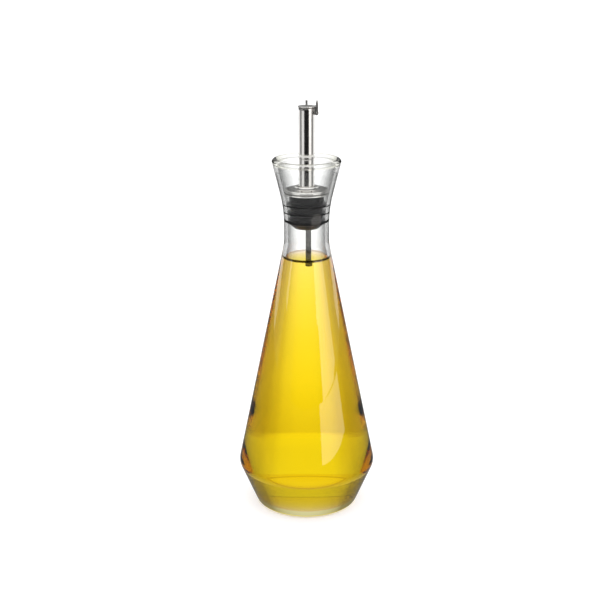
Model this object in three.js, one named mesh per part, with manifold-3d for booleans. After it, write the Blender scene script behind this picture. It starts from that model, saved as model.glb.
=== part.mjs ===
// Oil and vinegar dispenser: a clear glass bottle of oil with a rubber stopper and a steel pouring spout.
// Millimetres, +Z up. The origin is the centre of the base, on the surface that the bottle stands on.
// The spout's flap is hinged on the +X side of the tube and opens upwards.
import * as THREE from "three";
import { mergeVertices } from "three/addons/utils/BufferGeometryUtils.js";
import Module from "manifold-3d";

const wasm = await Module();
wasm.setup();

// Bottle: corners of the outer and inner wall as radius and height, with the radius that rounds each corner
const heel = { r: 28.0, z: 0, round: 3.2 };
const shoulder = { r: 38.2, z: 24.2, round: 6.5 };
const neckFoot = { r: 12.1, z: 150.7, round: 30 };
const floorEdge = { r: 27.0, z: 4.0, round: 5.5 };
const innerShoulder = { r: 36.0, z: 24.4, round: 5.5 };
const innerNeckFoot = { r: 10.1, z: 150.0, round: 26 };
const punt = { r: 20, depth: 1.2 };
const funnel = { z: 161.5, bend: 68, lean: THREE.MathUtils.degToRad(14.2), top: 193.2 };
const funnelInside = { bend: 70, lean: THREE.MathUtils.degToRad(13.4) };
const lip = { r: 16.8, z: 195.0, bead: 1.6 };
const bottleSides = 48;

// Oil
const oilLevel = 143;
const wallGap = 0.3;

// Stopper: sealing fins from the lowest up, on a round body
const stopper = { bottom: 160, top: 178, body: 8.9, nose: 7.2, noseHeight: 2.6, edge: 0.75 };
const fins = [
  { z: 163.6, root: 2.4, tip: 1.7 },
  { z: 168.0, root: 1.5, tip: 0.9 },
  { z: 172.3, root: 1.5, tip: 0.9 },
];
const finGap = 0.15;
const stopperCrown = { r: 9.3, z: 174.6 };

// Steel cap over the stopper
const cap = { r: 11.7, bottom: 178.1, rim: 2.5, edge: 1.0, rise: 0.7 };
const boss = { r: 6.2, height: 1.0, edge: 0.4 };

// Spout tube with its hinge lug
const spout = { r: 4.2, bore: 3.5, bottom: 166.3, top: 223.2, fitGap: 0.3 };
const tubeSides = 32;

// Dip tube under the stopper, a little off the axis
const dip = { x: 1.0, r: 1.55, bore: 1.1, bottom: 138, top: 165.7, fitGap: 0.3 };

// Hinge and flap
const pin = { x: 5.15, z: 220.7, r: 0.5, half: 2.7 };
const lug = { half: 1.3, round: 1.0, inset: 0.5 };
const flap = { r: 4.55, thick: 0.8, gap: 0.15, edge: 0.25 };
const ear = { inner: 1.6, thick: 0.8, round: 1.1, pinGap: 0.2 };
const lever = { left: 4.9, right: 6.1, height: 2.5, half: 2.4 };
const tab = { half: 0.55, depth: 0.9, height: 2.5 };

const glass = new THREE.MeshStandardMaterial({
  name: "clear glass", color: 0xf2f6f4, roughness: 0.02, metalness: 0, transparent: true, opacity: 0.35,
});
const oilYellow = new THREE.MeshStandardMaterial({
  name: "golden oil", color: 0xf2cf12, roughness: 0.05, metalness: 0, transparent: true, opacity: 0.8,
});
const rubber = new THREE.MeshStandardMaterial({
  name: "black rubber", color: 0x232325, roughness: 0.6, metalness: 0,
});
const steel = new THREE.MeshStandardMaterial({
  name: "polished steel", color: 0xc9c8c4, roughness: 0.16, metalness: 1,
});

// Points on a turned profile are Vector2(radius, height).
const at = (r, z) => new THREE.Vector2(r, z);
const placeOf = (corner) => at(corner.r, corner.z);

// Adds an arc to a profile, from an angle and by a turn.
function addArc(points, centre, radius, from, turn, steps) {
  for (let step = 0; step <= steps; step += 1) {
    const angle = from + (turn * step) / steps;
    points.push(at(centre.x + radius * Math.cos(angle), centre.y + radius * Math.sin(angle)));
  }
}

// Adds a rounded corner to a profile, between the points before and after it.
function addCorner(points, before, corner, after, radius, steps) {
  const back = before.clone().sub(corner).normalize();
  const onward = after.clone().sub(corner).normalize();
  const half = Math.acos(THREE.MathUtils.clamp(back.dot(onward), -1, 1)) / 2;
  const inward = back.clone().add(onward).normalize();
  const centre = corner.clone().addScaledVector(inward, radius / Math.sin(half));
  const start = corner.clone().addScaledVector(back, radius / Math.tan(half)).sub(centre);
  const turn = (Math.PI - 2 * half) * Math.sign(onward.cross(back));
  addArc(points, centre, radius, start.angle(), turn, steps);
}

// A solid turned about Z from a closed profile, or from one that starts and ends on the axis.
function turned(points, sides) {
  return new THREE.LatheGeometry(points, sides).rotateX(Math.PI / 2);
}

function toManifold(geometry) {
  const bare = geometry.clone();
  bare.deleteAttribute("normal");
  bare.deleteAttribute("uv");
  const merged = mergeVertices(bare, 1e-4);
  return new wasm.Manifold(
    new wasm.Mesh({
      numProp: 3,
      vertProperties: new Float32Array(merged.attributes.position.array),
      triVerts: new Uint32Array(merged.index.array),
    }),
  );
}

function toGeometry(manifold) {
  const mesh = manifold.getMesh();
  const geometry = new THREE.BufferGeometry();
  geometry.setAttribute("position", new THREE.BufferAttribute(mesh.vertProperties, 3));
  geometry.setIndex(new THREE.BufferAttribute(mesh.triVerts, 1));
  geometry.computeVertexNormals();
  return geometry;
}

const box = (x0, x1, y0, y1, z0, z1) =>
  new THREE.BoxGeometry(x1 - x0, y1 - y0, z1 - z0).translate((x0 + x1) / 2, (y0 + y1) / 2, (z0 + z1) / 2);

const uprightRod = (x, r, z0, z1, sides) =>
  new THREE.CylinderGeometry(r, r, z1 - z0, sides).rotateX(Math.PI / 2).translate(x, 0, (z0 + z1) / 2);

// A round bar along Y through the hinge.
const crossRod = (r, y0, y1, sides) =>
  new THREE.CylinderGeometry(r, r, y1 - y0, sides).translate(pin.x, (y0 + y1) / 2, pin.z);

// Radius at a height in the neck or the funnel, from the neck's radius and the funnel's bend and lean.
function flare(z, neck, { bend, lean }) {
  const rise = THREE.MathUtils.clamp(z - funnel.z, 0, bend * Math.sin(lean));
  const straight = Math.max(0, z - funnel.z - rise);
  return neck + bend - Math.sqrt(bend ** 2 - rise ** 2) + straight * Math.tan(lean);
}

const neckBore = (z) => flare(z, innerNeckFoot.r, funnelInside);

// Radius of the inner wall at a height on the long cone.
function coneBore(z) {
  const share = (z - innerShoulder.z) / (innerNeckFoot.z - innerShoulder.z);
  return THREE.MathUtils.lerp(innerShoulder.r, innerNeckFoot.r, share);
}

function bottleProfile() {
  const points = [at(0, punt.depth), at(punt.r * 0.5, punt.depth * 0.75), at(punt.r, 0)];
  const bend = at(neckFoot.r + funnel.bend, funnel.z);
  const innerBend = at(innerNeckFoot.r + funnelInside.bend, funnel.z);
  const [heelAt, shoulderAt, footAt] = [heel, shoulder, neckFoot].map(placeOf);
  addCorner(points, at(punt.r, 0), heelAt, shoulderAt, heel.round, 4);
  addCorner(points, heelAt, shoulderAt, footAt, shoulder.round, 5);
  addCorner(points, shoulderAt, footAt, at(neckFoot.r, funnel.z), neckFoot.round, 3);
  addArc(points, bend, funnel.bend, Math.PI, -funnel.lean, 5);
  points.push(at(flare(funnel.top, neckFoot.r, funnel), funnel.top));
  addArc(points, at(lip.r, lip.z), lip.bead, -0.28 * Math.PI, 1.38 * Math.PI, 9);
  points.push(at(neckBore(funnel.top), funnel.top));
  addArc(points, innerBend, funnelInside.bend, Math.PI - funnelInside.lean, funnelInside.lean, 5);
  const [innerFoot, innerShoulderAt, floorAt] = [innerNeckFoot, innerShoulder, floorEdge].map(placeOf);
  addCorner(points, at(innerNeckFoot.r, funnel.z), innerFoot, innerShoulderAt, innerNeckFoot.round, 3);
  addCorner(points, innerFoot, innerShoulderAt, floorAt, innerShoulder.round, 4);
  addCorner(points, innerShoulderAt, floorAt, at(0, floorEdge.z), floorEdge.round, 4);
  points.push(at(0, floorEdge.z));
  return points;
}

// The oil fills the bottle to its level, a gap inside the wall, and is cut round the dip tube.
function oilGeometry() {
  const shoulderAt = at(innerShoulder.r - wallGap, innerShoulder.z);
  const floorAt = at(floorEdge.r - wallGap, floorEdge.z + wallGap);
  const surface = at(coneBore(oilLevel) - wallGap, oilLevel);
  const points = [at(0, floorAt.y)];
  addCorner(points, points[0], floorAt, shoulderAt, floorEdge.round, 4);
  addCorner(points, floorAt, shoulderAt, surface, innerShoulder.round, 4);
  points.push(surface, at(0, oilLevel));
  const body = toManifold(turned(points, bottleSides));
  const well = uprightRod(dip.x, dip.r + dip.fitGap, dip.bottom - dip.fitGap, oilLevel + 1, 20);
  return toGeometry(body.subtract(toManifold(well)));
}

// A rubber plug with a tapered nose and fins that fit the neck, bored for the two tubes.
function stopperGeometry() {
  const seat = spout.r + spout.fitGap;
  const points = [at(0, stopper.bottom), at(stopper.nose - stopper.edge, stopper.bottom)];
  points.push(at(stopper.nose, stopper.bottom + stopper.edge));
  points.push(at(stopper.body - 0.3, stopper.bottom + stopper.noseHeight));
  for (const { z, root, tip } of fins) {
    const reach = neckBore(z - tip / 2) - finGap;
    points.push(at(stopper.body, z - root / 2), at(reach, z - tip / 2));
    points.push(at(reach, z + tip / 2), at(stopper.body, z + root / 2));
  }
  points.push(at(stopperCrown.r, stopperCrown.z), at(stopperCrown.r, stopper.top));
  const seatFloor = spout.bottom - spout.fitGap;
  points.push(at(seat, stopper.top), at(seat, seatFloor), at(0, seatFloor));
  const hole = uprightRod(dip.x, dip.r + dip.fitGap, stopper.bottom - 1, spout.bottom, 20);
  return toGeometry(toManifold(turned(points, 36)).subtract(toManifold(hole)));
}

// A polished ring with a rounded rim that rises gently to a boss round the tube.
function capGeometry() {
  const bore = spout.r + spout.fitGap;
  const rimFoot = at(cap.r, cap.bottom);
  const rimHead = at(cap.r, cap.bottom + cap.rim);
  const bossFoot = at(boss.r, rimHead.y + cap.rise);
  const bossTop = bossFoot.y + boss.height;
  const points = [at(bore, cap.bottom)];
  addCorner(points, points[0], rimFoot, rimHead, cap.edge, 3);
  addCorner(points, rimFoot, rimHead, bossFoot, cap.edge, 3);
  points.push(bossFoot, at(boss.r, bossTop - boss.edge), at(boss.r - boss.edge, bossTop));
  points.push(at(bore, bossTop), points[0]);
  return turned(points, 40);
}

// A thin steel tube, open at both ends, with a round knuckle for the hinge pin near its top.
function spoutGeometry() {
  const ring = [at(spout.bore, spout.bottom), at(spout.r, spout.bottom), at(spout.r, spout.top - 0.15)];
  ring.push(at(spout.r - 0.15, spout.top), at(spout.bore, spout.top), at(spout.bore, spout.bottom));
  const knuckle = toManifold(crossRod(lug.round, -lug.half, lug.half, 20));
  const bridge = box(spout.r - lug.inset, pin.x, -lug.half, lug.half, pin.z - lug.round, pin.z + lug.round);
  const bore = uprightRod(0, (spout.r + spout.bore) / 2, pin.z - 5, spout.top + 1, tubeSides);
  const eye = toManifold(crossRod(pin.r + ear.pinGap, -lug.half - 1, lug.half + 1, 16));
  const ears = knuckle.add(toManifold(bridge)).subtract(toManifold(bore)).subtract(eye);
  return toGeometry(toManifold(turned(ring, tubeSides)).add(ears));
}

function dipGeometry() {
  const ring = [at(dip.bore, dip.bottom), at(dip.r, dip.bottom), at(dip.r, dip.top), at(dip.bore, dip.top)];
  ring.push(at(dip.bore, dip.bottom));
  return turned(ring, 20).translate(dip.x, 0, 0);
}

// The flap is bent from one sheet: a disc over the tube's mouth, a lever, a stop tab and two ears on the pin.
function flapGeometry() {
  const under = spout.top + flap.gap;
  const over = under + flap.thick;
  const profile = [at(0, under), at(flap.r - flap.edge, under), at(flap.r, under + flap.edge)];
  profile.push(at(flap.r, over - flap.edge), at(flap.r - flap.edge, over), at(0, over));
  const strip = box(0, lever.right, -lever.half, lever.half, under, over);
  const upright = box(lever.left, lever.right, -lever.half, lever.half, under, over + lever.height);
  const stop = box(-tab.half, tab.half, flap.r - tab.depth - 0.1, flap.r - 0.1, under, over + tab.height);
  let sheet = toManifold(turned(profile, 40));
  for (const bent of [strip, upright, stop]) {
    sheet = sheet.add(toManifold(bent));
  }
  for (const side of [-1, 1]) {
    const [y0, y1] = [ear.inner, ear.inner + ear.thick].map((y) => y * side).sort((a, b) => a - b);
    const plate = box(pin.x - ear.round, pin.x + ear.round * 0.75, y0, y1, pin.z, over);
    sheet = sheet.add(toManifold(crossRod(ear.round, y0, y1, 24))).add(toManifold(plate));
  }
  const eye = crossRod(pin.r + ear.pinGap, -pin.half - 1, pin.half + 1, 16);
  return toGeometry(sheet.subtract(toManifold(eye)));
}

const pieces = [
  ["bottle", turned(bottleProfile(), bottleSides), glass],
  ["oil", oilGeometry(), oilYellow],
  ["stopper", stopperGeometry(), rubber],
  ["cap", capGeometry(), steel],
  ["spout_tube", spoutGeometry(), steel],
  ["dip_tube", dipGeometry(), steel],
  ["hinge_pin", crossRod(pin.r, -pin.half, pin.half, 16), steel],
  ["flap", flapGeometry(), steel],
];

const dispenser = new THREE.Group();
dispenser.name = "oil_and_vinegar_dispenser";
for (const [name, geometry, material] of pieces) {
  const mesh = new THREE.Mesh(geometry, material);
  mesh.name = name;
  dispenser.add(mesh);
}

export default dispenser;
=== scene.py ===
import math

import bpy
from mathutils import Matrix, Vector


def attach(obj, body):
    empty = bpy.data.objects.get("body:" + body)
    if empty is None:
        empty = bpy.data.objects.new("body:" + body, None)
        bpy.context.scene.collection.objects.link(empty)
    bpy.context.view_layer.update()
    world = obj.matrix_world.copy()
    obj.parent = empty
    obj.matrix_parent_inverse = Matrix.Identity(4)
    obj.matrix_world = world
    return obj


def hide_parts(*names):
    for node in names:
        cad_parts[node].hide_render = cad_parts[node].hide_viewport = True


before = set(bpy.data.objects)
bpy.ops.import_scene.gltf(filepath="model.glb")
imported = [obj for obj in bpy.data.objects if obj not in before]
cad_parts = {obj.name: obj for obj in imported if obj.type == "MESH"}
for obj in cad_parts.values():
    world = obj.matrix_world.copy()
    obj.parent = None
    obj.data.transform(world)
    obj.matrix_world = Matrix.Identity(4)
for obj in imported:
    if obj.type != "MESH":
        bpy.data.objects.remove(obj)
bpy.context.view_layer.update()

mm = 0.001
print("frame loaded:", ", ".join(sorted(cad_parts)))


# Profiles: lists of (radius, height) in millimetres
def arcRun(centre, radius, start, turn, steps):
    angles = [start + turn * step / steps for step in range(steps + 1)]
    return [(centre[0] + radius * math.cos(a), centre[1] + radius * math.sin(a)) for a in angles]


def cornerRun(before, corner, after, radius, steps=8):
    corner = Vector(corner)
    back = (Vector(before) - corner).normalized()
    onward = (Vector(after) - corner).normalized()
    half = math.acos(max(-1.0, min(1.0, back.dot(onward)))) / 2
    centre = corner + (back + onward).normalized() * (radius / math.sin(half))
    first = corner + back * (radius / math.tan(half)) - centre
    turn = math.copysign(math.pi - 2 * half, onward.cross(back))
    return arcRun(centre, radius, math.atan2(first.y, first.x), turn, steps)


def softRun(corners, closed=False, steps=5):  # corners are (radius, height, rounding)
    run = []
    last = len(corners) - 1
    for i, (r, z, rounding) in enumerate(corners):
        if not rounding or (not closed and i in (0, last)):
            run.append((r, z))
            continue
        before = corners[i - 1][:2]
        after = corners[(i + 1) % len(corners)][:2]
        run += cornerRun(before, (r, z), after, rounding, steps)
    return run + run[:1] if closed else run


def spread(points, longest):  # breaks long straight stretches up, for even shading
    run = [points[0]]
    for (r0, z0), (r1, z1) in zip(points, points[1:]):
        count = max(1, math.ceil(math.hypot(r1 - r0, z1 - z0) / longest))
        run += [(r0 + (r1 - r0) * i / count, z0 + (z1 - z0) * i / count) for i in range(1, count + 1)]
    return run


# Modelling
def clearSelection():
    bpy.ops.object.select_all(action="DESELECT")


def named(piece, name):
    piece.name = name
    piece.data.name = name
    return piece


def turnPiece(name, profile, steps=160):  # draws a profile from one vertex and spins it about Z
    clearSelection()
    bpy.ops.mesh.primitive_plane_add(size=mm)
    piece = named(bpy.context.object, name)
    bpy.ops.object.mode_set(mode="EDIT")
    bpy.ops.mesh.select_all(action="SELECT")
    bpy.ops.mesh.merge(type="CENTER")
    bpy.ops.transform.translate(value=(profile[0][0] * mm, 0, profile[0][1] * mm))
    for (r0, z0), (r1, z1) in zip(profile, profile[1:]):
        step = ((r1 - r0) * mm, 0, (z1 - z0) * mm)
        bpy.ops.mesh.extrude_vertices_move(TRANSFORM_OT_translate={"value": step})
    bpy.ops.mesh.select_all(action="SELECT")
    bpy.ops.mesh.spin(steps=steps, angle=2 * math.pi, center=(0, 0, 0), axis=(0, 0, 1))
    bpy.ops.mesh.select_all(action="SELECT")
    bpy.ops.mesh.remove_doubles(threshold=0.002 * mm)
    bpy.ops.mesh.normals_make_consistent(inside=False)
    bpy.ops.object.mode_set(mode="OBJECT")
    return piece


def addBlock(name, low, high, rounding, segments=3):  # a cube at its size and place, with rounded edges
    clearSelection()
    centre = [(a + b) / 2 * mm for a, b in zip(low, high)]
    bpy.ops.mesh.primitive_cube_add(size=1, location=centre)
    piece = named(bpy.context.object, name)
    piece.scale = [(b - a) * mm for a, b in zip(low, high)]
    bpy.ops.object.transform_apply(location=True, rotation=True, scale=True)
    bpy.ops.object.mode_set(mode="EDIT")
    bpy.ops.mesh.select_all(action="SELECT")
    bpy.ops.mesh.bevel(offset=rounding * mm, segments=segments, affect="EDGES")
    bpy.ops.object.mode_set(mode="OBJECT")
    return piece


def addCrossBar(name, centre, radius, low, high, rounding, sides=40):  # a round bar along Y
    clearSelection()
    half = (high - low) / 2
    corners = [(0, -half, 0), (radius, -half, rounding), (radius, half, rounding), (0, half, 0)]
    bar = turnPiece(name, softRun(corners), sides)
    bar.rotation_euler = (math.pi / 2, 0, 0)
    bar.location = (centre[0] * mm, (low + high) / 2 * mm, centre[1] * mm)
    bpy.ops.object.transform_apply(location=True, rotation=True, scale=True)
    return bar


def combine(piece, others, operation="UNION"):
    for other in others:
        clearSelection()
        piece.select_set(True)
        bpy.context.view_layer.objects.active = piece
        cut = piece.modifiers.new("join", "BOOLEAN")
        cut.operation = operation
        cut.solver = "EXACT"
        cut.object = other
        bpy.ops.object.modifier_apply(modifier=cut.name)
        bpy.data.objects.remove(other)
    return piece


def smooth(piece, angle=32):
    clearSelection()
    piece.select_set(True)
    bpy.context.view_layer.objects.active = piece
    bpy.ops.object.shade_smooth_by_angle(angle=math.radians(angle))


def place(piece, body, node, material):
    smooth(piece)
    piece.data.materials.clear()
    piece.data.materials.append(material)
    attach(piece, body)
    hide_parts(node)
    print(f"{piece.name}: {len(piece.data.polygons)} faces")


# Shader maths
class Wire:
    def __init__(self, tree, socket=None):
        self.tree = tree
        self.socket = socket

    def make(self, kind, settings=None, sockets=None, out=0):
        node = self.tree.nodes.new("ShaderNode" + kind)
        for key, value in (settings or {}).items():
            if key == "stops":
                for spot, (position, colour) in zip(self.stopsOf(node, len(value)), value):
                    spot.position = position
                    spot.color = (*colour, 1)
            else:
                setattr(node, key, value)
        for key, value in (sockets or {}).items():
            if isinstance(value, Wire):
                self.tree.links.new(value.socket, node.inputs[key])
            else:
                node.inputs[key].default_value = value
        return Wire(self.tree, node.outputs[out])

    def stopsOf(self, node, count):
        elements = node.color_ramp.elements
        while len(elements) < count:
            elements.new(1)
        return elements

    def math(self, operation, first, second):
        return self.make("Math", {"operation": operation}, {0: first, 1: second})

    def __add__(self, other):
        return self.math("ADD", self, other)

    def __radd__(self, other):
        return self.math("ADD", other, self)

    def __sub__(self, other):
        return self.math("SUBTRACT", self, other)

    def __rsub__(self, other):
        return self.math("SUBTRACT", other, self)

    def __mul__(self, other):
        return self.math("MULTIPLY", self, other)

    def __rmul__(self, other):
        return self.math("MULTIPLY", other, self)

    def length(self, other):  # of the vector that the two values make
        return self.math("POWER", self * self + other * other, 0.5)

    def remap(self, low, high, start=0.0, end=1.0):  # low to high becomes start to end, held beyond both
        sockets = {"Value": self, "From Min": low, "From Max": high, "To Min": start, "To Max": end}
        return self.make("MapRange", None, sockets)

    def blend(self, first, second):  # from the first colour to the second as the value goes from 0 to 1
        return self.make("Mix", {"data_type": "RGBA"}, {0: self, 6: first, 7: second}, out=2)


def newMaterial(name):
    material = bpy.data.materials.new(name)
    material.use_nodes = True
    tree = material.node_tree
    tree.nodes.clear()
    tree.nodes.new("ShaderNodeOutputMaterial")
    return material, Wire(tree)


def output(tree, shader, socket="Surface"):
    tree.links.new(shader.socket, tree.nodes["Material Output"].inputs[socket])


def stretchedNoise(wire, scale, stretch=(1, 1, 1), detail=3):
    coords = wire.make("TexCoord", out="Object")
    mapped = wire.make("Mapping", None, {"Vector": coords, "Scale": stretch})
    return wire.make("TexNoise", None, {"Vector": mapped, "Scale": scale, "Detail": detail})


def objectPlace(wire):  # x, y and z on the piece, and the distance from its axis
    coords = wire.make("TexCoord", out="Object")
    x, y, z = [wire.make("SeparateXYZ", None, {"Vector": coords}, out=axis) for axis in range(3)]
    return x, y, z, x.length(y)


def fromMiddle(wire):  # distance from the piece's origin
    coords = wire.make("TexCoord", out="Object")
    return wire.make("VectorMath", {"operation": "LENGTH"}, {0: coords}, out=1)


# Glass: each rim is a tint that runs from face-on to edge-on, painted shade that darkens the glass towards
# its edges
glassLook = dict(
    ior=1.33, filledIor=1.22, heelIor=1.3, waveScale=55, waveStretch=(1, 1, 0.8), waveDepth=0.06,
    rim=(
        (0.06, (0.985, 0.992, 0.985)), (0.2, (0.8, 0.805, 0.8)), (0.35, (0.54, 0.545, 0.54)),
        (0.55, (0.28, 0.28, 0.275)), (0.75, (0.14, 0.14, 0.138)), (1.0, (0.06, 0.06, 0.058)),
    ),
    lipEdgeShade=(
        (0.1, (0.99, 0.99, 0.975)), (0.35, (0.84, 0.84, 0.79)), (0.6, (0.6, 0.6, 0.53)),
        (0.8, (0.4, 0.4, 0.34)), (1.0, (0.2, 0.2, 0.16)),
    ),
    filledEdgeShade=(
        (0.04, (1.0, 1.0, 1.0)), (0.11, (0.91, 0.89, 0.83)), (0.18, (0.68, 0.63, 0.52)),
        (0.32, (0.48, 0.42, 0.27)), (0.55, (0.46, 0.39, 0.21)), (0.8, (0.38, 0.31, 0.14)),
        (1.0, (0.25, 0.2, 0.07)),
    ),
    heelEdgeShade=(
        (0.14, (0.91, 0.92, 0.95)), (0.3, (0.56, 0.59, 0.6)), (0.47, (0.3, 0.28, 0.19)),
        (0.58, (0.085, 0.068, 0.025)), (0.74, (0.045, 0.034, 0.01)), (1.0, (0.02, 0.015, 0.004)),
    ),
    baseEdgeShade=(
        (0.3, (0.66, 0.6, 0.22)), (0.6, (0.48, 0.41, 0.1)), (0.8, (0.2, 0.16, 0.03)),
        (1.0, (0.04, 0.03, 0.005)),
    ),
)


def clearGlass(name, ior, coat, rim):  # the coat keeps the filled glass shiny
    material, wire = newMaterial(name)
    wave = stretchedNoise(wire, glassLook["waveScale"], glassLook["waveStretch"], 1)
    bump = wire.make("Bump", None, {"Height": wave, "Strength": glassLook["waveDepth"], "Distance": mm})
    slope = wire.make("LayerWeight", out="Facing")
    shader = wire.make("BsdfPrincipled", None, {
        # painted shade: the rim ramp darkens the glass's colour as its faces turn edge-on
        "Base Color": wire.make("ValToRGB", {"stops": rim}, {"Fac": slope}),
        "Roughness": 0.0,
        "IOR": ior,
        "Transmission Weight": 1.0,
        "Coat Weight": coat,
        "Coat Roughness": 0.0,
        "Normal": bump,
    })
    output(wire.tree, shader)
    return material


def wetGlass():  # the wall under the oil: the two bend light alike, so nothing shows between them
    material, wire = newMaterial("wetGlass")
    output(wire.tree, wire.make("BsdfTransparent", None, {"Color": (1, 1, 1, 1)}))
    return material


# Oil: its wall is clear, its top is a free surface, and painted shade draws a dark line where it meets the
# glass, fainter towards the back
oilLook = dict(
    ior=1.06, film=(1.0, 0.98, 0.9), tint=(0.99, 0.9, 0.9), soak=(0.988, 0.962, 0.0), density=80,
    topFrom=100.0, meniscusShade=(0.07, 0.05, 0.004), meniscusShadeSpan=(142.6, 142.9), meniscusShadeFade=(-4.0, 6.0), meniscusShadeBack=0.3,
)


def goldenOil(wallRadius, wallSlope):  # wallRadius at height 0 and wallSlope give the cone's inner wall
    material, wire = newMaterial("goldenOil")
    _, y, z, radius = objectPlace(wire)
    within = wire.math("LESS_THAN", radius - z * wallSlope, wallRadius)
    surface = within * wire.math("GREATER_THAN", z, oilLook["topFrom"] * mm)
    # painted shade: where the oil climbs the glass it is tinted dark, less so at the back
    climb = z.remap(*[end * mm for end in oilLook["meniscusShadeSpan"]])
    fade = y.remap(*[end * mm for end in oilLook["meniscusShadeFade"]], 1.0, oilLook["meniscusShadeBack"])
    clear = wire.make("BsdfTransparent", None, {"Color": (*oilLook["tint"], 1)})
    meniscusShade = wire.make("BsdfTransparent", None, {"Color": (*oilLook["meniscusShade"], 1)})
    wall = wire.make("MixShader", None, {0: climb * fade, 1: clear, 2: meniscusShade})
    top = wire.make("BsdfPrincipled", None, {
        "Base Color": (*oilLook["film"], 1),
        "Roughness": 0.0,
        "IOR": oilLook["ior"],
        "Transmission Weight": 1.0,
    })
    output(wire.tree, wire.make("MixShader", None, {0: surface, 1: wall, 2: top}))
    soak = {"Color": (*oilLook["soak"], 1), "Density": oilLook["density"]}
    output(wire.tree, wire.make("VolumeAbsorption", None, soak), "Volume")
    return material


rubberLook = dict(
    dark=(0.004, 0.004, 0.0045), pale=(0.010, 0.010, 0.011), gloss=0.24, glossSpread=0.16, shine=0.18,
    cloud=120, cloudStretch=(1, 1, 2.5), grain=1400, grainDepth=0.12,
)


def blackRubber():
    material, wire = newMaterial("blackRubber")
    cloud = stretchedNoise(wire, rubberLook["cloud"], rubberLook["cloudStretch"], 4)
    grain = stretchedNoise(wire, rubberLook["grain"], detail=2)
    stops = [(0.3, rubberLook["dark"]), (0.75, rubberLook["pale"])]
    tone = wire.make("ValToRGB", {"stops": stops}, {"Fac": cloud})
    depth = rubberLook["grainDepth"]
    bump = wire.make("Bump", None, {"Height": grain, "Strength": depth, "Distance": 0.2 * mm})
    shader = wire.make("BsdfPrincipled", None, {
        "Base Color": tone,
        "Roughness": rubberLook["gloss"] + cloud * rubberLook["glossSpread"],
        "Specular IOR Level": rubberLook["shine"],
        "Normal": bump,
    })
    output(wire.tree, shader)
    return material


steelLook = dict(
    dark=(0.50, 0.488, 0.47), pale=(0.62, 0.61, 0.592), smear=90, glossSpread=0.10, lineDepth=0.03,
    creaseShadeTone=(0.01, 0.01, 0.01), creaseShadeReach=0.75, creaseShadeDepth=0.9,
)


def creaseShadeMask(wire, shadedCreases):  # painted shade, strongest on the rings at (radius, height), where two faces meet in a crease
    _, _, z, radius = objectPlace(wire)
    reach = steelLook["creaseShadeReach"] * mm
    mask = 0.0
    for creaseRadius, creaseHeight in shadedCreases:
        away = (radius - creaseRadius * mm).length(z - creaseHeight * mm)
        mask = wire.math("MAXIMUM", mask, away.remap(0.0, reach, steelLook["creaseShadeDepth"], 0.0))
    return mask


def polishedSteel(name, scale, stretch, gloss, shade=1.0, shadedCreases=()):  # stretch lays the polishing lines
    material, wire = newMaterial(name)
    lines = stretchedNoise(wire, scale, stretch, 5)
    smear = stretchedNoise(wire, steelLook["smear"])
    dark, pale = [[shade * part for part in steelLook[end]] for end in ("dark", "pale")]
    stops = [(0.25, dark), (0.7, pale)]
    tone = wire.make("ValToRGB", {"stops": stops}, {"Fac": lines * 0.6 + smear * 0.4})
    # painted shade darkens the steel in the creases
    if shadedCreases:
        tone = creaseShadeMask(wire, shadedCreases).blend(tone, (*steelLook["creaseShadeTone"], 1))
    depth = steelLook["lineDepth"]
    bump = wire.make("Bump", None, {"Height": lines, "Strength": depth, "Distance": 0.1 * mm})
    shader = wire.make("BsdfPrincipled", None, {
        "Base Color": tone,
        "Metallic": 1.0,
        "Roughness": gloss + smear * steelLook["glossSpread"],
        "Normal": bump,
    })
    output(wire.tree, shader)
    return material


glass = clearGlass("clearGlass", glassLook["ior"], 0.0, glassLook["rim"])
filledGlass = clearGlass("filledGlass", glassLook["filledIor"], 1.0, glassLook["filledEdgeShade"])
heelGlass = clearGlass("heelGlass", glassLook["heelIor"], 0.0, glassLook["heelEdgeShade"])
baseGlass = clearGlass("baseGlass", glassLook["heelIor"], 0.0, glassLook["baseEdgeShade"])
lipGlass = clearGlass("lipGlass", glassLook["ior"], 0.0, glassLook["lipEdgeShade"])
rubber = blackRubber()
drawnSteel = polishedSteel("drawnSteel", scale=500, stretch=(1, 1, 6), gloss=0.05)
dullSteel = polishedSteel("dullSteel", scale=500, stretch=(1, 1, 6), gloss=0.08, shade=0.2)
bentSteel = polishedSteel("bentSteel", scale=700, stretch=(1, 1, 1), gloss=0.22)
print("materials made")

# Bottle: outer and inner corners as (radius, height, rounding)
bottle = dict(
    heel=(28.0, 0.0, 3.2), shoulder=(38.2, 24.2, 6.5), neckFoot=(12.1, 150.7, 30.0),
    floorEdge=(27.0, 4.0, 5.5), innerShoulder=(36.0, 24.4, 5.5), innerNeckFoot=(10.1, 150.0, 26.0),
    puntRadius=20.0, puntDepth=1.2, puntSteps=8, funnelFoot=161.5, funnelTop=193.2,
    lip=(16.8, 195.0), lipBead=1.6, lipArc=(-0.28 * math.pi, 1.38 * math.pi),
    outside=(68.0, math.radians(14.2)), inside=(70.0, math.radians(13.4)), steps=176,
)
oil = dict(
    level=143.0, into=0.15, climb=1.0, curl=1.2, curlRings=(0.25, 0.55, 0.9, 1.4, 2.1, 3.2, 4.8), steps=160,
)


def flare(z, neck, bend, lean):  # radius in the neck and the funnel
    rise = min(max(z - bottle["funnelFoot"], 0), bend * math.sin(lean))
    straight = max(0, z - bottle["funnelFoot"] - rise)
    return neck + bend - math.sqrt(bend ** 2 - rise ** 2) + straight * math.tan(lean)


def neckBore(z):
    return flare(z, bottle["innerNeckFoot"][0], *bottle["inside"])


def coneBore(z):  # inner radius on the long cone
    (r0, z0, _), (r1, z1, _) = bottle["innerShoulder"], bottle["innerNeckFoot"]
    return r0 + (r1 - r0) * (z - z0) / (z1 - z0)


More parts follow.
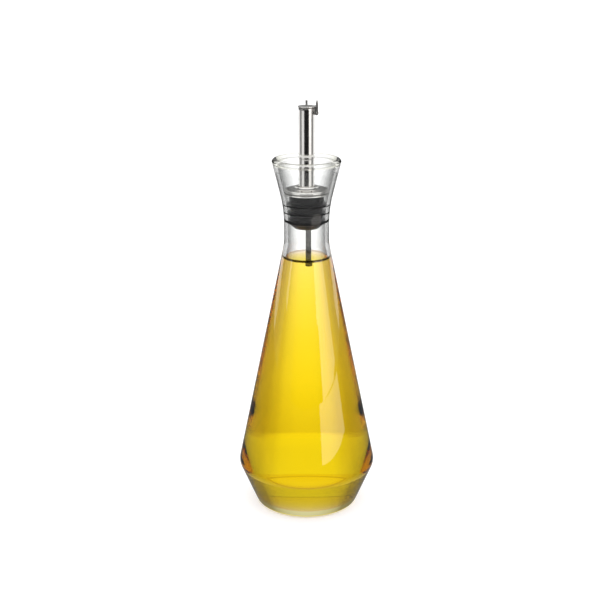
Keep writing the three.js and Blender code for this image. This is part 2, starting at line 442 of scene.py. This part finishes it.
def makeBottle():
    b = bottle
    (outBend, outLean), (inBend, inLean) = b["outside"], b["inside"]
    neck, bore, foot, top = b["neckFoot"][0], b["innerNeckFoot"][0], b["funnelFoot"], b["funnelTop"]
    wet = oil["level"] + oil["climb"]
    shares = [i / b["puntSteps"] for i in range(b["puntSteps"] + 1)]
    punt = [(b["puntRadius"] * share, b["puntDepth"] * (1 - share ** 2)) for share in shares]
    outer = [(*punt[-1], 0), b["heel"], b["shoulder"], b["neckFoot"], (neck, foot, 0)]
    inner = [(bore, foot, 0), b["innerNeckFoot"], (coneBore(wet), wet, 0), b["innerShoulder"]]
    inner += [b["floorEdge"], (0, b["floorEdge"][1], 0)]
    profile = punt[:-1] + softRun(outer, steps=14)[:-1]
    profile += arcRun((neck + outBend, foot), outBend, math.pi, -outLean, 16)
    profile.append((flare(top, neck, outBend, outLean), top))
    profile += arcRun(b["lip"], b["lipBead"], *b["lipArc"], 26)
    profile.append((neckBore(top), top))
    profile += arcRun((bore + inBend, foot), inBend, math.pi - inLean, inLean, 16)[:-1]
    profile += softRun(inner, steps=14)
    return turnPiece("bottle_glass", spread(profile, 4.0), b["steps"])


# Which glass a face takes, in the order of the bottle's material slots
glassParts = ("dry", "wet", "filled", "heel", "lip", "base")
glassSplit = dict(inward=0.3, flat=0.6, floorTop=12.0, underTop=2.0, shoulderLap=2.2)


def glassPart(face):
    x, y, z = face.center
    height = z / mm
    inward = face.normal.x * x + face.normal.y * y < -glassSplit["inward"] * math.hypot(x, y)
    floor = face.normal.z > glassSplit["flat"] and height < glassSplit["floorTop"]
    underside = face.normal.z < -glassSplit["flat"] and height < glassSplit["underTop"]
    if height > bottle["funnelTop"]:
        return "lip"
    if height > oil["level"] + oil["climb"]:
        return "dry"
    if inward or floor or underside:
        return "wet"
    if height > bottle["shoulder"][1] - glassSplit["shoulderLap"]:
        return "filled"
    return "heel" if height > bottle["heel"][2] else "base"


bottlePiece = makeBottle()
place(bottlePiece, "dispenser", "bottle", glass)
for material in (wetGlass(), filledGlass, heelGlass, lipGlass, baseGlass):
    bottlePiece.data.materials.append(material)
for face in bottlePiece.data.polygons:
    face.material_index = glassParts.index(glassPart(face))


# Oil: runs just into the glass, and climbs the wall a little
def makeOil():
    into = oil["into"]
    (floorR, floorZ, floorRound), (sideR, sideZ, sideRound) = bottle["floorEdge"], bottle["innerShoulder"]
    top = oil["level"] + oil["climb"]
    wall = coneBore(top) + into
    corners = [(0, floorZ - into, 0), (floorR + into, floorZ - into, floorRound)]
    corners.append((sideR + into, sideZ, sideRound))
    surface = []
    for inward in oil["curlRings"]:
        surface.append((wall - inward, oil["level"] + oil["climb"] * math.exp(-inward / oil["curl"])))
    profile = softRun(corners + [(wall, top, 0)], steps=12) + surface + [(0, oil["level"])]
    return turnPiece("oil_fill", spread(profile, 4.0), oil["steps"])


wallSlope = coneBore(1) - coneBore(0)
oilMaterial = goldenOil((coneBore(0) + oil["into"] / 2) * mm, wallSlope)
place(makeOil(), "dispenser", "oil", oilMaterial)

# Stopper: the fins press just into the glass
stopper = dict(
    bottom=159.3, top=178.0, body=8.9, nose=6.4, noseRound=1.3, noseTop=161.6, crown=9.3, crownFoot=174.6,
    seat=4.3, seatFloor=166.0, fins=((163.5, 2.1), (168.0, 0.9), (172.3, 0.9)), finRoot=0.5, finTip=0.8,
    press=0.05, steps=128,
)


def makeStopper():
    s = stopper
    corners = [(0, s["bottom"], 0), (s["nose"], s["bottom"], s["noseRound"])]
    corners.append((s["body"], s["noseTop"], 0.3))
    for z, thick in s["fins"]:
        reach = neckBore(z) + s["press"]
        half = thick / 2
        root = half + s["finRoot"]
        tip = half * s["finTip"]
        corners += [(s["body"], z - root, 0.25), (reach, z - half, tip)]
        corners += [(reach, z + half, tip), (s["body"], z + root, 0.25)]
    corners += [(s["crown"], s["crownFoot"], 0.4), (s["crown"], s["top"], 0.35), (s["seat"], s["top"], 0)]
    corners += [(s["seat"], s["seatFloor"], 0), (0, s["seatFloor"], 0)]
    return turnPiece("rubber_stopper", softRun(corners), s["steps"])


place(makeStopper(), "dispenser", "stopper", rubber)

# Cap: rounded rim, a fine groove below it and a boss that closes on the tube
cap = dict(
    radius=11.7, bottom=178.02, rim=180.6, groove=179.2, grooveDepth=0.8, grooveHalf=0.42,
    boss=6.2, bossFlare=0.3, bossFoot=181.3, bossTop=182.3, bossCrest=5.2, crease=0.55, press=0.1,
    steps=128,
)


def makeCap():
    c = cap
    bore = spout["radius"] - c["press"]
    middle, half = c["groove"], c["grooveHalf"]
    corners = [(bore, c["bottom"], 0.1), (c["radius"], c["bottom"], 0.25)]
    corners += [(c["radius"], middle - half, 0.15), (c["radius"] - c["grooveDepth"], middle, 0.08)]
    corners += [(c["radius"], middle + half, 0.15), (c["radius"], c["rim"], 0.7)]
    corners += [(c["boss"] + c["bossFlare"], c["bossFoot"], 0.3), (c["boss"], c["bossTop"], 0.45)]
    corners += [(c["bossCrest"], c["bossTop"], 0.35), (bore, c["bossTop"] - c["crease"], 0.1)]
    return turnPiece("steel_cap", softRun(corners, closed=True), c["steps"])


# Spout tube with the hinge's knuckle
spout = dict(radius=4.2, bore=3.5, bottom=166.3, top=223.2, rim=0.25, steps=96)
hinge = dict(
    x=5.15, z=220.7, pin=0.5, pinHalf=2.7, pinGap=0.2,
    knuckle=1.0, knuckleHalf=1.3, knuckleGap=0.02, bridgeSink=0.5,
)


def makeSpout():
    s = spout
    h = hinge
    ring = [(s["bore"], s["bottom"], 0.1), (s["radius"], s["bottom"], 0.1)]
    ring += [(s["radius"], s["top"], s["rim"]), (s["bore"], s["top"], s["rim"])]
    tube = turnPiece("spout_steel", spread(softRun(ring, closed=True), 0.9), s["steps"])
    half = h["knuckleHalf"]
    knuckle = addCrossBar("knuckle", (h["x"], h["z"]), h["knuckle"], -half, half, 0.15)
    low = (s["radius"] - h["bridgeSink"], -half, h["z"] - h["knuckle"])
    bridge = addBlock("bridge", low, (h["x"], half, h["z"] + h["knuckle"]), 0.12)
    eye = addCrossBar("eye", (h["x"], h["z"]), h["pin"] + h["knuckleGap"], -half - 1, half + 1, 0.1)
    lug = combine(combine(knuckle, [bridge]), [eye], "DIFFERENCE")
    return combine(tube, [lug])


# The cap's creases as (radius, height), darkened with painted shade
capShadedCreases = [(cap["radius"] - 0.2, cap["groove"]), (cap["boss"] + cap["bossFlare"], cap["bossFoot"])]
capShadedCreases.append((spout["radius"] + 0.1, cap["bossTop"] - 0.5))
stamped = dict(scale=700, stretch=(1, 1, 1), gloss=0.02, shade=1.45, shadedCreases=capShadedCreases)
stampedSteel = polishedSteel("stampedSteel", **stamped)
place(makeCap(), "dispenser", "cap", stampedSteel)
place(makeSpout(), "dispenser", "spout_tube", drawnSteel)

# Dip tube, a little off the axis
dip = dict(x=1.0, radius=1.55, bore=1.1, bottom=138.0, top=165.7, steps=64)


def makeDip():
    d = dip
    ring = [(d["bore"], d["bottom"], 0.12), (d["radius"], d["bottom"], 0.2)]
    ring += [(d["radius"], d["top"], 0.1), (d["bore"], d["top"], 0.1)]
    tube = turnPiece("dip_steel", spread(softRun(ring, closed=True), 4.0), d["steps"])
    tube.location = (d["x"] * mm, 0, 0)
    bpy.ops.object.transform_apply(location=True, rotation=True, scale=True)
    return tube


place(makeDip(), "dispenser", "dip_tube", dullSteel)

# Hinge pin and flap
flap = dict(
    radius=4.55, under=223.35, thick=0.8, edge=0.3, stripLeft=2.0, steps=96,
    leverLeft=4.9, leverRight=6.1, leverTop=226.65, leverHalf=2.4,
)
ear = dict(inner=1.6, thick=0.8, radius=1.1, plateRight=0.825)
tab = dict(half=0.55, front=3.55, back=4.45, top=226.65)


def makePin():
    h = hinge
    return addCrossBar("hinge_rivet", (h["x"], h["z"]), h["pin"], -h["pinHalf"], h["pinHalf"], 0.2)


def makeFlap():
    f = flap
    h = hinge
    over = f["under"] + f["thick"]
    disc = [(0, f["under"], 0), (f["radius"], f["under"], f["edge"])]
    disc += [(f["radius"], over, f["edge"]), (0, over, 0)]
    lid = turnPiece("flap_steel", spread(softRun(disc), 1.5), f["steps"])
    half = f["leverHalf"]
    others = [
        addBlock("strip", (f["stripLeft"], -half, f["under"]), (f["leverRight"], half, over), 0.12),
        addBlock("lever", (f["leverLeft"], -half, f["under"]), (f["leverRight"], half, f["leverTop"]), 0.3),
    ]
    tabLow = (-tab["half"], tab["front"], f["under"] + 0.1)
    others.append(addBlock("tab", tabLow, (tab["half"], tab["back"], tab["top"]), 0.2))
    for side in (-1, 1):
        low, high = sorted((side * ear["inner"], side * (ear["inner"] + ear["thick"])))
        others.append(addCrossBar("earRound", (h["x"], h["z"]), ear["radius"], low, high, 0.12))
        plateLow = (h["x"] - ear["radius"], low, h["z"])
        others.append(addBlock("earPlate", plateLow, (h["x"] + ear["plateRight"], high, over - 0.1), 0.12))
    combine(lid, others)
    eye = addCrossBar("flapEye", (h["x"], h["z"]), h["pin"] + h["pinGap"], -half - 1, half + 1, 0.1)
    return combine(lid, [eye], "DIFFERENCE")


place(makePin(), "dispenser", "hinge_pin", bentSteel)
place(makeFlap(), "spout_flap", "flap", bentSteel)
print("pieces made")

# Studio: pale floor that glows with painted light around the bottle, cards that only the glass and the
# steel see, and softboxes
studio = dict(
    floorSize=16.0, floorDrop=0.05, floorTone=(0.93, 0.93, 0.93), floorPatch=(0.9, 0.9, 0.905), mottle=3,
    baseGlow=(0.15, 0.19, 0.31), baseGlowSpan=(0.03, 0.065), skyLow=1.1, skyHigh=1.5, cardDepth=0.002,
)
darkCard = dict(tone=0.02, half=0.48, away=0.70, height=0.16)
stripCard = dict(tone=0.02, half=0.48, away=0.72, height=0.24, mirrored=True)
sideCards = dict(tone=0.3, half=0.2, away=0.70, height=0.75, mirrored=True)
floorStrips = dict(tone=0.1, half=0.16, away=0.56, height=0.0004, depth=0.32)
tableCard = dict(
    radius=0.45, drop=0.00002, under=0.036, base=(1.0, 0.92, 0.48), fade=(0.3, 0.45),
    bright=(1.07, 1.29), span=(0.07, 0.14),
)
floorShade = dict(radius=0.4, inner=0.0285, drop=0.00001, tones=(0.3, 0.1), span=(0.05, 0.1))
rings = dict(
    nearDark=dict(radius=0.4, bottom=0.0, top=0.068, tone=0.08, seen="glossy"),
    farDark=dict(radius=1.8, bottom=0.0, top=1.0, tone=0.08, seen="glossy"),
    lowPale=dict(radius=1.9, bottom=0.0, top=0.45, tone=0.8, seen="transmission"),
    highPale=dict(radius=1.9, bottom=0.45, top=1.4, tone=1.25, seen="transmission"),
)
warmWhite = (1.0, 0.93, 0.88)
softWhite = (1.0, 0.97, 0.95)
softboxes = dict(
    softboxRight=dict(azimuth=58, away=1.6, height=0.345, size=(1.9, 0.63), glow=2.6, colour=warmWhite),
    softboxLow=dict(
        azimuth=50, away=0.33, height=0.043, size=(0.30, 0.05), glow=2.4, colour=warmWhite, glossOnly=True,
    ),
    softboxLeft=dict(azimuth=-72, away=1.6, height=0.35, size=(0.3, 0.4), glow=2.0, colour=softWhite),
)


def hideCard(card, material):  # cards shade nothing and the camera doesn't see them
    card.data.materials.append(material)
    card.visible_camera = False
    card.visible_diffuse = False
    card.visible_shadow = False


def grey(tone):
    return (tone, tone, tone)


def addCard(name, settings, turn):  # an upright card, turned about the bottle from the camera's side
    c = settings
    clearSelection()
    bpy.ops.mesh.primitive_cube_add(size=1, location=(0, -c["away"], c["height"] / 2))
    card = named(bpy.context.object, name)
    card.scale = (2 * c["half"], c.get("depth", studio["cardDepth"]), c["height"])
    bpy.ops.object.transform_apply(location=True, rotation=True, scale=True)
    card.rotation_euler = (0, 0, turn)
    bpy.ops.object.transform_apply(location=True, rotation=True, scale=True)
    material, wire = newMaterial(name)
    shader = wire.make("Emission", None, {"Color": (*grey(c["tone"]), 1)})
    if c.get("mirrored"):  # shows only where the light was mirrored on its way, not straight through glass
        seen = wire.math("GREATER_THAN", wire.make("LightPath", out="Glossy Depth"), 0.5)
        shader = wire.make("MixShader", None, {0: seen, 1: wire.make("BsdfTransparent"), 2: shader})
    output(wire.tree, shader)
    hideCard(card, material)
    return card


def addDisc(name, settings):  # a card that lies on the floor, with the distance from its middle
    clearSelection()
    spot = (0, 0, -settings["drop"])
    size = settings["radius"]
    bpy.ops.mesh.primitive_circle_add(vertices=96, radius=size, fill_type="NGON", location=spot)
    card = named(bpy.context.object, name)
    material, wire = newMaterial(name)
    return card, material, wire, fromMiddle(wire)


def addTableCard():  # what shows through the oil: the bright table behind, and a glow under the base
    t = tableCard
    card, material, wire, radius = addDisc("tableCard", t)
    under = wire.math("LESS_THAN", radius, t["under"])
    table = radius.remap(*t["span"], *t["bright"])
    tone = under.blend(table, (*t["base"], 1))
    fade = radius.remap(*t["fade"])
    glow = wire.make("Emission", None, {"Color": tone})
    output(wire.tree, wire.make("MixShader", None, {0: fade, 1: glow, 2: wire.make("BsdfTransparent")}))
    hideCard(card, material)


def addFloorShade():  # keeps the white floor out of the gloss along the bottle's edges
    card, material, wire, radius = addDisc("floorShade", floorShade)
    ring = wire.math("GREATER_THAN", radius, floorShade["inner"])
    tone = radius.remap(*floorShade["span"], *floorShade["tones"])
    dark = wire.make("Emission", None, {"Color": tone})
    output(wire.tree, wire.make("MixShader", None, {0: ring, 1: wire.make("BsdfTransparent"), 2: dark}))
    hideCard(card, material)
    card.visible_transmission = False


def addRing(name, r):  # a round wall that shows only in gloss or only through glass
    clearSelection()
    bpy.ops.mesh.primitive_cylinder_add(
        vertices=96, radius=r["radius"], depth=r["top"] - r["bottom"], end_fill_type="NOTHING",
        location=(0, 0, (r["bottom"] + r["top"]) / 2),
    )
    wall = named(bpy.context.object, name)
    bpy.ops.object.transform_apply(location=True, rotation=True, scale=True)
    material, wire = newMaterial(name)
    output(wire.tree, wire.make("Emission", None, {"Color": (*grey(r["tone"]), 1)}))
    hideCard(wall, material)
    wall.visible_glossy = r["seen"] == "glossy"
    wall.visible_transmission = r["seen"] == "transmission"


def addSoftbox(name, b):  # azimuth from the camera's side
    angle = math.radians(b["azimuth"])
    spot = Vector((b["away"] * math.sin(angle), -b["away"] * math.cos(angle), b["height"]))
    bpy.ops.object.light_add(type="AREA", location=spot, rotation=(math.pi / 2, 0, angle))
    lamp = bpy.context.object
    lamp.name = name
    lamp.data.shape = "RECTANGLE"
    lamp.data.size, lamp.data.size_y = b["size"]
    lamp.data.energy = b["glow"] * math.pi * b["size"][0] * b["size"][1]
    lamp.data.color = b["colour"]
    lamp.visible_camera = False
    lamp.visible_transmission = False
    lamp.visible_diffuse = not b.get("glossOnly", False)


def addFloor():
    clearSelection()
    bpy.ops.mesh.primitive_plane_add(size=studio["floorSize"], location=(0, 0, -studio["floorDrop"] * mm))
    floor = named(bpy.context.object, "floor")
    material, wire = newMaterial("paleFloor")
    mottle = stretchedNoise(wire, studio["mottle"], detail=2)
    stops = [(0.3, studio["floorPatch"]), (0.7, studio["floorTone"])]
    tone = wire.make("ValToRGB", {"stops": stops}, {"Fac": mottle})
    fade = fromMiddle(wire).remap(*studio["baseGlowSpan"])
    baseGlow = fade.blend((*studio["baseGlow"], 1), (0, 0, 0, 1))  # painted light: the floor glows around the bottle's base and lightens its shadow there
    output(wire.tree, wire.make("BsdfPrincipled", None, {
        "Base Color": tone, "Roughness": 0.9, "Emission Color": baseGlow, "Emission Strength": 1.0,
    }))
    floor.data.materials.append(material)


def addSky():
    world = bpy.data.worlds.new("studioSky")
    bpy.context.scene.world = world
    world.use_nodes = True
    wire = Wire(world.node_tree)
    coords = wire.make("TexCoord")
    rise = wire.make("SeparateXYZ", None, {"Vector": coords}, out=2)
    stops = [(0.15, grey(studio["skyLow"])), (0.8, grey(studio["skyHigh"]))]
    tone = wire.make("ValToRGB", {"stops": stops}, {"Fac": rise})
    world.node_tree.links.new(tone.socket, world.node_tree.nodes["Background"].inputs["Color"])


addFloor()
addSky()
addCard("darkCard", darkCard, 0).visible_transmission = False
addCard("stripCard", stripCard, 0).visible_glossy = False
for quarter in (1, 2, 3):
    addCard(f"sideCard{quarter}", sideCards, quarter * math.pi / 2)
for quarter in range(4):
    addCard(f"floorStrip{quarter}", floorStrips, quarter * math.pi / 2).visible_transmission = False
addTableCard()
addFloorShade()
for name, ring in rings.items():
    addRing(name, ring)
for name, softbox in softboxes.items():
    addSoftbox(name, softbox)

# Camera at the photograph's place
view = dict(pitch=18.0, away=0.6416, aimHeight=0.1138, aside=0.00077, sensor=36, focus=1170 / 616)
bounces = dict(glass=32, clear=128, gloss=8)
pitch = math.radians(view["pitch"])
height = view["aimHeight"] + view["away"] * math.sin(pitch)
bpy.ops.object.camera_add(
    location=(view["aside"], -view["away"] * math.cos(pitch), height), rotation=(math.pi / 2 - pitch, 0, 0)
)
camera = bpy.context.object
camera.data.lens = view["sensor"] * view["focus"]
camera.data.sensor_width = view["sensor"]
scene = bpy.context.scene
scene.camera = camera
scene.view_settings.view_transform = "Standard"
scene.cycles.max_bounces = bounces["glass"]
scene.cycles.transmission_bounces = bounces["glass"]
scene.cycles.transparent_max_bounces = bounces["clear"]
scene.cycles.glossy_bounces = bounces["gloss"]
print("studio set")
